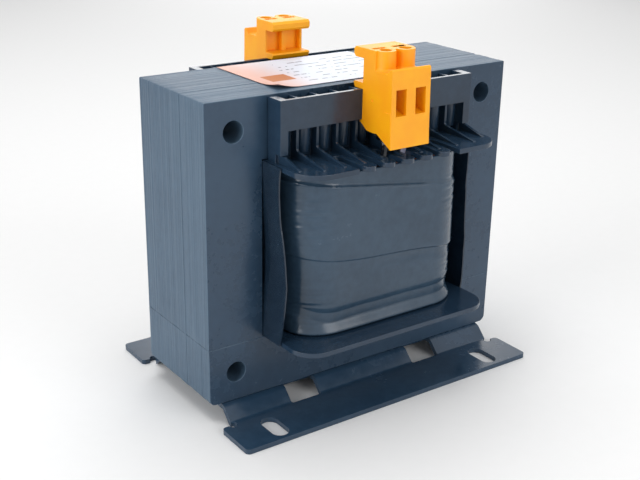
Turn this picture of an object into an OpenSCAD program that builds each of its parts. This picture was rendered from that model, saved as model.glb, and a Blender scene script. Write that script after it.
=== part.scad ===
// Laminated chassis transformer: a stack of E and I sheets on two bent foot rails,
// a moulded coil former with a terminal bar at the front and the rear,
// and a two-pole screw terminal block clipped to each bar.
// X is the width, Y the depth (the front is -Y) and Z is up from the ground.

/* [Core sheets] */
// Width of the centre leg
leg_w = 40; // [34:1:50]
// Width of each window beside the centre leg
window_w = 20; // [18:1:26]
// Height of the windows
window_h = 60; // [50:1:80]
// Width of each outer leg
side_leg_w = 20; // [16:1:26]
// Height of the yoke above the windows and of the one below them
yoke_h = 20; // [16:1:26]
// Thickness of the stack of sheets
stack_t = 41.5; // [36:0.5:52]
// Diameter of the holes through the stack's corners
core_hole_d = 7; // [4:0.5:8]
// Distance of those holes from the sheets' edges
core_hole_inset = 10; // [8:0.5:11]
// Radius of the stack's lower corners
core_corner_r = 2.4; // [1:0.2:4]
// Number of packets of sheets that the stack's edges show
packet_count = 9; // [5:2:15]
// How far every second packet stands back from its neighbours
packet_step = 0.15; // [0.05:0.05:0.3]

/* [Foot rails] */
// Thickness of the bent sheet
rail_t = 1.7; // [1.2:0.1:2.2]
// Height of the stack's underside above the ground
rail_rise = 6; // [5:0.5:9]
// How far the rail's ends stand in from the stack's ends
rail_end_gap = 0.2; // [0:0.1:1.5]
// How much the sloping web and the leaf are shorter at each end
rail_relief = 4.2; // [2.5:0.1:7]
// Depth over both flanges
rail_span = 87; // [84:0.5:100]
// How far the leaf reaches in under the stack
rail_tuck = 12; // [9:0.5:16]
// Radius of the bends, at the middle of the sheet
rail_bend_r = 2; // [1.4:0.1:2.4]
// Slope of the web
rail_slope = 45; // [40:1:60]
// Distance of the slots' middle from the rail's ends
slot_end = 14.8; // [11:0.2:18]
// Distance of the slots' middle from the rail's outer edge
slot_edge = 7.5; // [7.2:0.1:8]
// Width of each slot
slot_w = 6; // [4:0.5:7]
// Length of each slot from end to end
slot_len = 12; // [9:0.5:13]
// Distance of the web's cut-outs from the middle
port_x = 26; // [20:1:34]
// Width of the web's cut-outs
port_w = 12; // [8:0.5:16]
// Length of each weld bead under the stack
weld_len = 18; // [8:1:26]

/* [Coil former] */
// Clearance between the centre leg and the tube
former_gap = 0.3; // [0.1:0.05:0.5]
// Wall of the tube
former_wall = 1.5; // [1:0.1:2]
// Thickness of the flanges
flange_t = 1.6; // [1.2:0.1:2.2]
// How far the flanges stand out from the stack
flange_out = 23.25; // [21:0.25:26]
// Radius of the flanges' corners
flange_r = 8.5; // [4:0.5:12]
// Clearance between the flanges and the outer legs
flange_gap = 1.1; // [0.9:0.1:1.5]
// Clearance above the upper flange
former_end_gap = 0.3; // [0.1:0.05:0.6]
// Number of chambers in each terminal bar
chamber_count = 10; // [8:2:10]
// Distance between neighbouring chambers
chamber_pitch = 7.5; // [7:0.1:7.6]
// Thickness of the walls between the chambers
partition_t = 1; // [0.8:0.1:1.4]
// How far those walls stay below the bar's rim
partition_drop = 0.5; // [0:0.1:4]
// How far the bar's rear wall stays below its rim
rear_wall_drop = 6; // [0:0.5:12]
// Thickness of the bar's two end walls
end_wall_t = 2.8; // [1:0.1:3.5]
// Depth of those walls below the bar
partition_reach = 4.3; // [3:0.1:5.5]
// Depth of a terminal bar
bar_depth = 7; // [6:0.25:8]
// Height of the bar's front wall
bar_front_h = 9.6; // [7:0.2:12]
// How far the bar's rim stays below the top of the stack
bar_drop = 0.6; // [0:0.2:2]
// Wall of the bar
bar_wall = 1.4; // [1:0.1:1.8]
// Width of the lead slots between the flange's fingers
lead_slot_w = 2.6; // [2.5:0.1:3.4]
// Number of fingers on each side, counted with the middle one
finger_count = 5; // [3:2:5]
// Height of the ribs on the flange, where they leave the chamber walls
rib_h = 2.5; // [1.2:0.1:3.5]
// How far the ribs on the flange stop short of its edge
rib_short = 4; // [2:0.5:8]

/* [Coil] */
// Build of the primary winding
primary_t = 6.2; // [4:0.1:6.4]
// Build of the insulation between the windings
layer_t = 0.6; // [0.3:0.1:0.8]
// Build of the secondary winding
secondary_t = 4.6; // [3:0.1:4.8]
// Thickness of the film wrapped round the coil
wrap_t = 0.8; // [0.4:0.1:1]
// Extra thickness of the wrap's last turn
wrap_lap_t = 0.6; // [0.3:0.1:0.8]
// Distance between the lower flange and the windings
coil_margin = 0.6; // [0.3:0.1:1.5]
// Distance between the windings and the upper flange
lead_space = 2.7; // [2.6:0.1:3.5]
// Thickness of the insulation strips in the windows
strip_t = 0.5; // [0.3:0.05:0.6]
// How far the left strip stands out of the stack
left_strip_out = 10.2; // [4:0.1:12]
// How far the right strip stands out of the stack
right_strip_out = 7.6; // [4:0.1:12]
// Depth of the waves in the left strip's free edges
strip_wave = 1.8; // [0:0.1:2.4]
// How far the strips bow towards the coil
strip_bow = 1.4; // [0:0.1:2]

/* [Terminal blocks] */
// Distance between the two poles
pole_pitch = 7.6; // [7:0.1:8.2]
// Outer wall beside each pole's chamber
block_wall = 1.1; // [0.8:0.05:1.3]
// Height of the block's top above the bar's rim
block_top = 12.8; // [12.4:0.1:15]
// Height of the shoulder above the bar's rim
shoulder_h = 6.7; // [5.6:0.1:8]
// Depth of the block in front of the bar
block_depth = 14.1; // [13:0.1:16]
// How far the front face leans out at its foot
block_draft = 0.6; // [0:0.1:1]
// How far the front face reaches below the bar's rim
block_foot = 16.2; // [15.4:0.1:17.5]
// How far the lips reach back over the bar
lip_reach = 4.9; // [3:0.1:5.5]
// Thickness of the lower lip
lower_lip_t = 2; // [1.4:0.1:3]
// Thickness of the upper lip
upper_lip_t = 3.2; // [3:0.1:5]
// Radius of the screw towers
tower_r = 3.2; // [2.9:0.1:3.5]
// Distance of the screws from the bar's front face
screw_d = 5.9; // [5.7:0.1:6.4]
// Radius of the screw holes
screw_hole_r = 2; // [1.8:0.1:2.4]
// Width of the wire entries
entry_w = 4; // [3:0.1:4.4]
// Height of the wire entries
entry_h = 8.1; // [6:0.1:8.6]
// Depth of the entries' upper edge below the bar's rim, negative if above
entry_top = -2.1; // [-2.5:0.1:-1]
// Width and depth of the clamp bodies
clamp_w = 5; // [4.6:0.1:5.2]
// Height of the clamp bodies
clamp_h = 8; // [7:0.1:8.4]
// Clearance round the clamp bodies
clamp_gap = 0.2; // [0.1:0.05:0.3]
// Wall of the clamp bodies
clamp_wall = 0.9; // [0.6:0.1:1.1]
// Radius of the clamp screws
screw_r = 1.5; // [1.2:0.05:1.6]
// Width of the solder tags
tag_w = 2.6; // [2:0.1:3.2]
// Thickness of the solder tags
tag_t = 0.8; // [0.5:0.1:1]

/* [Leads and label] */
// Diameter of the lead wires
wire_d = 1.2; // [0.8:0.1:1.5]
// Outer diameter of the sleeves on the leads
sleeve_d = 2.3; // [1.8:0.1:2.4]
// Width of the flat strip lead
strip_lead_w = 2.2; // [1.4:0.1:2.4]
// Thickness of the flat strip lead
strip_lead_t = 0.5; // [0.3:0.1:0.8]
// Length of the rating label
label_len = 54; // [40:1:64]
// Width of the rating label
label_w = 37.2; // [28:0.2:39]
// Thickness of the rating label
label_t = 0.15; // [0.1:0.05:0.3]
// Distance of the label's middle from the stack's middle
label_x = -5; // [-10:1:10]

/* [Hidden] */
$fn = 32;

slate = "#4a5b6c";
dark_slate = "#26333f";
orange = "#ff9a1f";

// Core
core_w = leg_w + 2 * window_w + 2 * side_leg_w;
core_h = window_h + 2 * yoke_h;
core_z = rail_rise;
joint_z = core_z + yoke_h;
window_top = joint_z + window_h;
core_top = core_z + core_h;
stack_y = stack_t / 2;

// Foot rails
rail_len = core_w - 2 * rail_end_gap;
rail_web_len = rail_len - 2 * rail_relief;
slot_spacing_x = rail_len - 2 * slot_end;
slot_spacing_y = rail_span - 2 * slot_edge;
rail_drop = rail_rise - rail_t;
bend_fall = rail_bend_r * (1 - cos(rail_slope));
bend_run = rail_bend_r * sin(rail_slope);
web_run = 2 * bend_run + (rail_drop - 2 * bend_fall) / tan(rail_slope);
flange_line = web_run + 0.6 * rail_t;
rail_out = rail_span / 2 - stack_y;
rail_corner_r = 1.5;
port_r = 1;

// Coil former
tube_x = leg_w / 2 + former_gap + former_wall;
tube_y = stack_y + former_gap + former_wall;
tube_r = former_wall;
flange_x = leg_w / 2 + window_w - flange_gap;
flange_y = stack_y + flange_out;
flange_z = window_top - former_end_gap;
flange_top = flange_z - flange_t;
bar_gap = 0.3;
bar_y = stack_y + bar_gap + bar_depth;
bar_rim = core_top - bar_drop;
bar_foot = bar_rim - bar_front_h;
slot_root = bar_y + 1 + lead_slot_w / 2;
bar_x = chamber_count * chamber_pitch / 2 + partition_t / 2;
pocket_r = chamber_pitch / 2 - partition_t;
pocket_foot = flange_z + 1.4;

// Coil
coil_z = joint_z + flange_t + coil_margin;
coil_top = flange_top - lead_space;
primary_out = primary_t;
layer_out = primary_out + layer_t;
secondary_out = layer_out + secondary_t;
wrap_out = secondary_out + wrap_t;
strip_x = leg_w / 2 + window_w - 0.2 - strip_t / 2;

// Terminal blocks
block_w = 2 * pole_pitch;
poles = [-pole_pitch / 2, pole_pitch / 2];
upper_lip_h = block_top - upper_lip_t;
cell_w = pole_pitch - block_wall - 0.6;
cell_depth = 2.4;
clamp_d0 = screw_d - clamp_w / 2;
clamp_foot = -clamp_h + 0.6;
cavity_w = clamp_w + 2 * clamp_gap;
cavity_top = shoulder_h - 1.3;
entry_foot = -entry_top - entry_h;
chin_d = 7.8;
chin_h = -12.6;
chin_notch = -7.3;
chin_rim = -4.9;
clip_reach = 1.1;
clip_gap = 0.1;
tag_foot = -block_foot + 1.6;
lead_top = bar_rim + tag_foot;

// ---------- helpers ----------

// Rectangle centred on the origin with round corners
module rounded_rect(w, d, r) {
  square([w - 2 * r, d], center = true);
  square([w, d - 2 * r], center = true);
  for (sx = [-1, 1], sy = [-1, 1])
    translate([sx * (w / 2 - r), sy * (d / 2 - r)]) circle(r);
}

// Extrudes a shape drawn in X and Z along Y, from y0 to y1
module along_y(y0, y1) {
  translate([0, y1, 0]) rotate([90, 0, 0]) linear_extrude(y1 - y0) children();
}

// Extrudes a shape drawn in Y and Z along X, centred on x
module along_x(x, width) {
  translate([x - width / 2, 0, 0]) rotate([90, 0, 90]) linear_extrude(width) children();
}

// A piece of the rear side, turned round for the front
module at_front() {
  rotate([0, 0, 180]) children();
}

// Closed ring round the tube, from inner to outer build, between two heights
module coil_ring(inner, outer, z0, z1) {
  translate([0, 0, z0]) linear_extrude(z1 - z0) difference() {
    rounded_rect(2 * (tube_x + outer), 2 * (tube_y + outer), tube_r + outer);
    rounded_rect(2 * (tube_x + inner), 2 * (tube_y + inner), tube_r + inner);
  }
}

// Ring of points round a route's point, square to the direction of travel,
// which is straight down at both ends
function unit(v) = v / norm(v);
function heading(p, i) =
  i == 0 || i == len(p) - 1 ? [0, 0, -1] : unit(p[i + 1] - p[i - 1]);
function sideways(dir) = unit(cross(dir, [1, 0, 0]));
function ring_at(p, i, r, sides) =
  let (dir = heading(p, i), u = sideways(dir), v = cross(dir, u))
  [for (k = [0:sides - 1]) p[i] + r * (cos(360 * k / sides) * u + sin(360 * k / sides) * v)];

// Solid round bar swept along a route
module swept_bar(p, r, sides = 8) {
  n = len(p);
  rings = [for (i = [0:n - 1]) each ring_at(p, i, r, sides)];
  walls = [for (i = [0:n - 2], k = [0:sides - 1])
    let (a = i * sides + k, b = i * sides + (k + 1) % sides)
    each [[a, a + sides, b], [b, a + sides, b + sides]]];
  polyhedron(rings, concat(
    walls,
    [[for (k = [0:sides - 1]) k]],
    [[for (k = [sides - 1:-1:0]) (n - 1) * sides + k]]
  ));
}

// Hollow round sleeve that fits the bar of the same route, without its ends
module swept_sleeve(p, r_out, r_in, sides = 8) {
  n = len(p) - 3;
  shell = n * sides;
  outer = [for (i = [1:n]) each ring_at(p, i, r_out, sides)];
  inner = [for (i = [1:n]) each ring_at(p, i, r_in, sides)];
  walls = [for (i = [0:n - 2], k = [0:sides - 1])
    let (a = i * sides + k, b = i * sides + (k + 1) % sides)
    each [
      [a, a + sides, b], [b, a + sides, b + sides],
      [a + shell, b + shell, a + sides + shell], [b + shell, b + sides + shell, a + sides + shell]
    ]];
  ends = [for (k = [0:sides - 1])
    let (j = (k + 1) % sides, e = (n - 1) * sides)
    each [
      [k, j, k + shell], [j, j + shell, k + shell],
      [e + k, e + k + shell, e + j], [e + j, e + k + shell, e + j + shell]
    ]];
  polyhedron(concat(outer, inner), concat(walls, ends));
}

// One edge of a flat ribbon that follows a route, seen along X
function ribbon_edge(p, off) =
  [for (i = [0:len(p) - 1]) let (dir = heading(p, i)) [p[i].y - off * dir.z, p[i].z + off * dir.y]];

// Points on a smooth curve through a route's points
function curve_point(a, b, c, d, t) =
  0.5 * (2 * b + (c - a) * t + (2 * a - 5 * b + 4 * c - d) * t * t
    + (3 * b - a - 3 * c + d) * t * t * t);
function smooth_route(p, steps) =
  let (n = len(p))
  [for (i = [0:n - 2], s = [0:steps - 1])
    curve_point(p[max(i - 1, 0)], p[i], p[i + 1], p[min(i + 2, n - 1)], s / steps), p[n - 1]];

// ---------- core ----------

// Where packet i begins, counted from the rear of the stack
function packet_edge(i) =
  i <= 0 ? -stack_y : i >= packet_count ? stack_y
  : -stack_y + stack_t * (i + 0.3 * sin(137 * i)) / packet_count;

module core_holes(z) {
  for (sx = [-1, 1])
    translate([sx * (core_w / 2 - core_hole_inset), 0, z])
      rotate([90, 0, 0]) cylinder(h = stack_t + 2, d = core_hole_d, center = true);
}

// Back and three legs of the E sheets, with the outer edges set back
module e_sheet(back) {
  difference() {
    translate([-core_w / 2 + back, joint_z])
      square([core_w - 2 * back, core_h - yoke_h - back]);
    for (sx = [-1, 1])
      translate([sx * (leg_w + window_w) / 2 - window_w / 2, joint_z - 1])
        square([window_w, window_h + 1]);
  }
}

// I sheet with round lower corners, with the outer edges set back
module i_sheet(back) {
  w = core_w - 2 * back;
  translate([-w / 2, core_z + back + core_corner_r])
    square([w, yoke_h - back - core_corner_r]);
  translate([-w / 2 + core_corner_r, core_z + back])
    square([w - 2 * core_corner_r, core_corner_r]);
  for (sx = [-1, 1])
    translate([sx * (w / 2 - core_corner_r), core_z + back + core_corner_r])
      circle(core_corner_r);
}

module e_core() {
  color(slate) difference() {
    union() {
      along_y(-stack_y, stack_y) e_sheet(packet_step);
      for (i = [0:2:packet_count - 1])
        along_y(packet_edge(i), packet_edge(i + 1)) e_sheet(0);
    }
    core_holes(core_top - core_hole_inset);
  }
}

module i_core() {
  color(slate) difference() {
    union() {
      along_y(-stack_y, stack_y) i_sheet(packet_step);
      for (i = [0:2:packet_count - 1])
        along_y(packet_edge(i), packet_edge(i + 1)) i_sheet(0);
    }
    core_holes(core_z + core_hole_inset);
  }
}

// ---------- foot rails ----------

// Middle line of the bent sheet: distance from the stack's face, height and slope
function rail_line(steps = 6) = concat(
  [[-rail_tuck, rail_rise - rail_t / 2, 0]],
  [for (i = [0:steps]) let (a = rail_slope * i / steps)
    [rail_bend_r * sin(a), rail_rise - rail_t / 2 - rail_bend_r * (1 - cos(a)), -a]],
  [for (i = [steps:-1:0]) let (a = rail_slope * i / steps)
    [web_run - rail_bend_r * sin(a), rail_t / 2 + rail_bend_r * (1 - cos(a)), -a]],
  [[rail_out, rail_t / 2, 0]]
);

// One face of the bent sheet, offset from the middle line
function rail_face(line, off) =
  [for (q = line) [stack_y + q[0] - off * sin(q[2]), q[1] + off * cos(q[2])]];

module rail_section() {
  line = rail_line();
  top = rail_face(line, rail_t / 2);
  under = rail_face(line, -rail_t / 2);
  polygon(concat(top, [for (i = [len(under) - 1:-1:0]) under[i]]));
}

// Outline of the rail seen from above
module rail_plan() {
  flange_d = rail_out - flange_line;
  difference() {
    union() {
      translate([0, stack_y + (flange_line - rail_tuck) / 2])
        square([rail_web_len, rail_tuck + flange_line + 1], center = true);
      translate([0, stack_y + flange_line + flange_d / 2])
        rounded_rect(rail_len, flange_d, rail_corner_r);
    }
    for (sx = [-1, 1]) translate([sx * rail_web_len / 2, stack_y + flange_line])
      circle(rail_corner_r);
    for (sx = [-1, 1]) translate([sx * port_x, stack_y + web_run / 2 - port_r])
      rounded_rect(port_w, web_run + 2 * port_r, port_r);
    for (sx = [-1, 1]) translate([sx * slot_spacing_x / 2, slot_spacing_y / 2]) {
      square([slot_w, slot_len - slot_w], center = true);
      for (sy = [-1, 1]) translate([0, sy * (slot_len - slot_w) / 2]) circle(d = slot_w);
    }
  }
}

module foot_rail() {
  color(slate) intersection() {
    along_x(0, rail_len + 2) rail_section();
    translate([0, 0, -1]) linear_extrude(rail_rise + 2) rail_plan();
  }
}

// Bead in the corner between a rail's inner edge and the stack
module rail_weld() {
  y = stack_y - rail_tuck;
  along_x(0, weld_len)
    polygon([[y, rail_rise], [y, rail_rise - rail_t], [y - rail_t, rail_rise]]);
}

module rail_welds() {
  color(dark_slate) for (turn = [0, 180], sx = [-1, 1])
    rotate([0, 0, turn]) translate([sx * port_x, 0, 0]) rail_weld();
}

// ---------- coil former ----------

module flange_plate() {
  rounded_rect(2 * flange_x, 2 * flange_y, flange_r);
}

// Gap in the upper flange where the fingers stand, on one side
module finger_gap() {
  half = (finger_count * chamber_pitch + lead_slot_w) / 2;
  translate([-half, slot_root]) square([2 * half, flange_out]);
}

// Fingers with round ends, which reach back into the plate
module fingers() {
  finger_w = chamber_pitch - lead_slot_w;
  for (i = [0:finger_count - 1]) {
    x = (i - (finger_count - 1) / 2) * chamber_pitch;
    translate([x - finger_w / 2, slot_root - 2])
      square([finger_w, flange_y - finger_w / 2 - slot_root + 2]);
    translate([x, flange_y - finger_w / 2]) circle(d = finger_w);
  }
}

// Upper flange: open slots for the leads run between its fingers, front and rear
module upper_flange() {
  difference() {
    union() {
      difference() {
        flange_plate();
        for (turn = [0, 180]) rotate(turn) finger_gap();
      }
      for (turn = [0, 180]) rotate(turn) fingers();
    }
    for (turn = [0, 180], i = [0:finger_count]) rotate(turn)
      translate([(i - finger_count / 2) * chamber_pitch, slot_root]) circle(d = lead_slot_w);
  }
}

// Side view of a wall between chambers, with the rib that runs out on the flange
module partition_side() {
  inner = stack_y + bar_gap;
  foot = flange_z - flange_t / 2;
  web = inner + partition_reach;
  rib_end = flange_y - rib_short;
  polygon([
    [inner, foot], [inner, bar_rim - partition_drop], [bar_y - bar_wall / 2, bar_rim - partition_drop],
    [bar_y - bar_wall / 2, bar_foot], [web, bar_foot], [web, flange_z + rib_h + 0.5],
    [web + 0.5, flange_z + rib_h], [rib_end, flange_z + 0.2], [rib_end, foot]
  ]);
}

// Side view of an end wall, which reaches the rim and stops above the flange
module end_wall_side() {
  inner = stack_y + bar_gap;
  foot = flange_z - flange_t / 2;
  sole = flange_z + rib_h + 0.2;
  polygon([
    [inner, foot], [inner, bar_rim], [bar_y, bar_rim], [bar_y, sole],
    [inner + partition_reach, sole], [inner + partition_reach, foot]
  ]);
}

// Side view of the short rib beside an end wall
module end_rib_side() {
  inner = stack_y + bar_gap;
  foot = flange_z - flange_t / 2;
  rib_end = flange_y - 1.8 * rib_short;
  polygon([
    [inner, foot], [inner, flange_z + rib_h], [bar_y, flange_z + rib_h],
    [rib_end, flange_z + 0.2], [rib_end, foot]
  ]);
}

// Rounded, tapering pocket at the back of a chamber
module pin_pocket(x) {
  translate([x, stack_y + bar_gap + bar_wall, pocket_foot])
    cylinder(h = bar_rim - rear_wall_drop - 1 - pocket_foot, r1 = pocket_r * 0.75, r2 = pocket_r);
}

module terminal_bar() {
  // front wall and rear wall
  along_x(0, 2 * bar_x) {
    translate([bar_y - bar_wall, bar_foot]) square([bar_wall, bar_front_h]);
    translate([stack_y + bar_gap, flange_z - flange_t / 2])
      square([bar_wall, bar_rim - rear_wall_drop - flange_z + flange_t / 2]);
  }
  for (sx = [-1, 1]) {
    along_x(sx * (bar_x - end_wall_t / 2), end_wall_t) end_wall_side();
    along_x(sx * (bar_x - end_wall_t / 2), partition_t) end_rib_side();
  }
  for (i = [1:chamber_count - 1])
    along_x((i - chamber_count / 2) * chamber_pitch, partition_t) partition_side();
  for (i = [0:chamber_count - 1])
    difference() {
      pin_pocket((i - (chamber_count - 1) / 2) * chamber_pitch);
      translate([-bar_x - 1, stack_y + bar_gap - pocket_r - 1, joint_z])
        cube([2 * bar_x + 2, pocket_r + 1 + bar_wall / 2, core_h]);
    }
}

module coil_former() {
  color(dark_slate) difference() {
    union() {
      translate([0, 0, joint_z]) linear_extrude(flange_z - joint_z)
        rounded_rect(2 * tube_x, 2 * tube_y, tube_r);
      translate([0, 0, joint_z]) linear_extrude(flange_t) flange_plate();
      translate([0, 0, flange_top]) linear_extrude(flange_t) upper_flange();
      for (turn = [0, 180]) rotate([0, 0, turn]) terminal_bar();
    }
    translate([0, 0, joint_z + window_h / 2])
      cube([leg_w + 2 * former_gap, stack_t + 2 * former_gap, window_h + 2], center = true);
  }
}

// ---------- coil ----------

module primary_winding() {
  color("#a8602f") coil_ring(0, primary_out, coil_z, coil_top);
}

module layer_insulation() {
  color("#d9cfa8") coil_ring(primary_out, layer_out, coil_z, coil_top);
}

module secondary_winding() {
  color("#a8602f") coil_ring(layer_out, secondary_out, coil_z, coil_top);
}

// Film wrap, with a last turn that ends along a slanting edge
module coil_wrap() {
  lap_z = coil_z + 0.42 * (coil_top - coil_z);
  lap_tilt = 4;
  color(slate) {
    coil_ring(secondary_out, wrap_out, coil_z, coil_top);
    difference() {
      coil_ring(wrap_out, wrap_out + wrap_lap_t, coil_z, coil_top);
      translate([0, 0, lap_z]) rotate([0, -lap_tilt, 0])
        translate([-core_w, -core_w, -core_h]) cube([2 * core_w, 2 * core_w, core_h]);
    }
  }
}

// ---------- insulation strips ----------

// Edge view of a strip that bows in towards the coil between the flanges
module strip_edge(side, bow) {
  foot = joint_z + 0.2;
  rise = window_h - 0.5;
  steps = 16;
  in = [for (i = [0:steps]) let (t = i / steps)
    [side * (strip_x - bow * pow(sin(180 * t), 2) * (1.2 - 0.6 * t)), foot + rise * t]];
  polygon(concat(
    [for (q = in) [q[0] - strip_t / 2, q[1]]],
    [for (i = [steps:-1:0]) [in[i][0] + strip_t / 2, in[i][1]]]
  ));
}

// Outline of a strip seen from the side, with wavy free edges
module strip_outline(out, wave) {
  foot = joint_z;
  rise = window_h;
  steps = 16;
  edge = [for (i = [0:steps]) let (t = i / steps)
    [stack_y + out + wave * sin(360 * t - 15), foot + rise * t]];
  polygon(concat(edge, [for (i = [steps:-1:0]) [-edge[i][0], edge[i][1]]]));
}

module insulation_strip(side, bow, out, wave) {
  color(dark_slate) intersection() {
    along_y(-flange_y, flange_y) strip_edge(side, bow);
    along_x(side * strip_x, 4 * strip_bow + 4 * strip_t) strip_outline(out, wave);
  }
}

// ---------- terminal blocks ----------

// Side view of a block: distance in front of the bar, height above its rim
module housing_side() {
  nip = 0.8;
  polygon([
    [0, 0], [0, -bar_front_h - clip_gap], [-clip_reach, -bar_front_h - clip_gap],
    [-clip_reach, -bar_front_h - 0.7], [0.6, -bar_front_h - 1.7], [2.4, chin_h], [5.2, chin_h - 0.2],
    [chin_d, chin_h], [block_depth + block_draft, -block_foot],
    [block_depth, shoulder_h + 1.2], [block_depth - 0.5, shoulder_h + 1.7],
    [block_depth - 1.2, shoulder_h + 1.6], [block_depth - 2.4, shoulder_h],
    [screw_d, shoulder_h], [screw_d, block_top], [-lip_reach + nip, block_top],
    [-lip_reach, block_top - nip], [-lip_reach, upper_lip_h + nip], [-lip_reach + nip, upper_lip_h],
    [0, upper_lip_h], [0, lower_lip_t], [-lip_reach + 0.5, lower_lip_t],
    [-lip_reach, lower_lip_t - 0.5], [-lip_reach + nip, 0]
  ]);
}

// Lower front of the sides, which stands a little proud
module chin_side() {
  polygon([
    [chin_d, chin_h], [block_depth + block_draft, -block_foot],
    [block_depth, chin_rim], [chin_d + 3.2, chin_rim], [chin_d, chin_notch]
  ]);
}

// Funnel from a wire entry to its clamp, with a floor that slopes up inwards
module entry_side() {
  back = screw_d + clamp_w / 2 - 0.5;
  polygon([
    [back, -entry_top], [block_depth + 1, -entry_top], [block_depth + 1, entry_foot - 0.1],
    [block_depth - 0.6, entry_foot], [back, entry_foot + 1.6]
  ]);
}

module terminal_housing() {
  color(orange) translate([0, bar_y, bar_rim]) difference() {
    union() {
      along_x(0, block_w) housing_side();
      along_x(0, block_w + 0.3) chin_side();
      intersection() {
        for (x = poles) translate([x, screw_d, shoulder_h - 1]) {
          cylinder(h = block_top - shoulder_h + 1, r = tower_r);
          cylinder(h = 1.8, r1 = tower_r + 1.1, r2 = tower_r);
        }
        translate([-block_w / 2, 0, 0]) cube([block_w, block_depth, block_top]);
      }
    }
    for (x = poles) {
      translate([x, screw_d, cavity_top - 1])
        cylinder(h = block_top - cavity_top + 2, r = screw_hole_r);
      translate([x - 2.4, 1.7, block_top - 3]) cube([4.8, 1.8, 4]);
      translate([x - cavity_w / 2, clamp_d0 - clamp_gap, clamp_foot - clamp_gap])
        cube([cavity_w, cavity_w, cavity_top - clamp_foot + clamp_gap]);
      along_x(x, entry_w) entry_side();
      translate([x - cell_w / 2, -1, lower_lip_t])
        cube([cell_w, cell_depth + 1, upper_lip_h - lower_lip_t]);
      translate([x - tag_w / 2 - clamp_gap, screw_d - tag_t / 2 - clamp_gap, -block_foot])
        cube([tag_w + 2 * clamp_gap, tag_t + 2 * clamp_gap, block_foot]);
    }
    for (sx = [-1, 1]) translate([sx * block_w / 2, screw_d - 1, -2.6])
      rotate([0, 90, 0]) cylinder(h = 0.6, r = 0.45, center = true);
  }
}

// Hollow clamp body with a threaded roof and a window for the wire
module clamp_bodies() {
  color("#c9c4b4") translate([0, bar_y, bar_rim]) for (x = poles) difference() {
    translate([x - clamp_w / 2, clamp_d0, clamp_foot]) cube([clamp_w, clamp_w, clamp_h]);
    translate([x - clamp_w / 2 + clamp_wall, clamp_d0 - 1, clamp_foot + clamp_wall])
      cube([clamp_w - 2 * clamp_wall, clamp_w + 2, clamp_h - 3 * clamp_wall]);
    translate([x, screw_d, clamp_foot]) translate([0, 0, clamp_h / 2])
      cylinder(h = clamp_h, r = screw_r + 0.05);
  }
}

// Slotted cheese-head screw in each clamp body
module clamp_screws() {
  head_h = 1.8;
  head_top = block_top - 2.4;
  tip = clamp_foot + clamp_h - 3.2;
  color("#d6d3c8") translate([0, bar_y, bar_rim]) for (x = poles) translate([x, screw_d, 0])
    difference() {
      union() {
        translate([0, 0, tip]) cylinder(h = head_top - tip, r = screw_r);
        translate([0, 0, head_top - head_h]) cylinder(h = head_h, r = screw_hole_r - 0.1);
      }
      translate([-tower_r, -0.3, head_top - 0.9]) cube([2 * tower_r, 0.6, 2]);
    }
}

// Flat tag under each clamp body, where the coil's lead is soldered
module solder_tags() {
  color("#c9c4b4") translate([0, bar_y, bar_rim]) for (x = poles)
    translate([x - tag_w / 2, screw_d - tag_t / 2, tag_foot])
      cube([tag_w, tag_t, clamp_foot - tag_foot]);
}

// ---------- leads ----------

// Route of a lead from a solder tag, through its slot, down to a winding
function lead_route(x, build, out) = [
  [x, bar_y + screw_d, lead_top],
  [x, bar_y + screw_d + out, lead_top - 2],
  [x, bar_y + screw_d + out * 0.6, flange_z - flange_t / 2],
  [x, (bar_y + screw_d + tube_y + build) / 2 + 1, flange_top - lead_space / 2],
  [x, tube_y + build + 0.8, flange_top - lead_space / 2],
  [x, tube_y + build, coil_top]
];
lead_x = chamber_pitch / 2;
secondary_mid = (layer_out + secondary_out) / 2;
primary_mid = primary_out / 2;
front_route = smooth_route(lead_route(lead_x, secondary_mid, 1.4), 3);
rear_route = smooth_route(lead_route(lead_x, primary_mid, 0.4), 3);

module front_strip_lead() {
  left = ribbon_edge(front_route, -strip_lead_t / 2);
  right = ribbon_edge(front_route, strip_lead_t / 2);
  color("#8d8fa6") along_x(-lead_x, strip_lead_w)
    polygon(concat(left, [for (i = [len(right) - 1:-1:0]) right[i]]));
}

// ---------- label ----------

module rating_label() {
  color("#f2f2f5") translate([label_x, 1.2, core_top]) linear_extrude(label_t)
    square([label_len, label_w], center = true);
}

// ---------- nodes ----------

e_core();
i_core();
at_front() foot_rail();  // front_foot_rail
foot_rail();  // rear_foot_rail
rail_welds();
coil_former();
primary_winding();
layer_insulation();
secondary_winding();
coil_wrap();
insulation_strip(-1, strip_bow, left_strip_out, strip_wave);  // left_insulation_strip
insulation_strip(1, strip_bow / 2, right_strip_out, strip_wave / 4);  // right_insulation_strip
at_front() terminal_housing();  // front_terminal_housing
at_front() clamp_bodies();  // front_clamp_bodies
at_front() clamp_screws();  // front_clamp_screws
at_front() solder_tags();  // front_solder_tags
terminal_housing();  // rear_terminal_housing
clamp_bodies();  // rear_clamp_bodies
clamp_screws();  // rear_clamp_screws
solder_tags();  // rear_solder_tags
at_front() color("#b5733a") swept_bar(front_route, wire_d / 2);  // front_wire_lead
at_front() color("#101114") swept_sleeve(front_route, sleeve_d / 2, wire_d / 2);  // front_lead_sleeve
at_front() front_strip_lead();
color("#b5733a") for (side = [0, 1]) mirror([side, 0, 0]) swept_bar(rear_route, wire_d / 2);  // rear_wire_leads
color("#101114") for (side = [0, 1]) mirror([side, 0, 0])  // rear_lead_sleeves
    swept_sleeve(rear_route, sleeve_d / 2, wire_d / 2);
rating_label();
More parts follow.
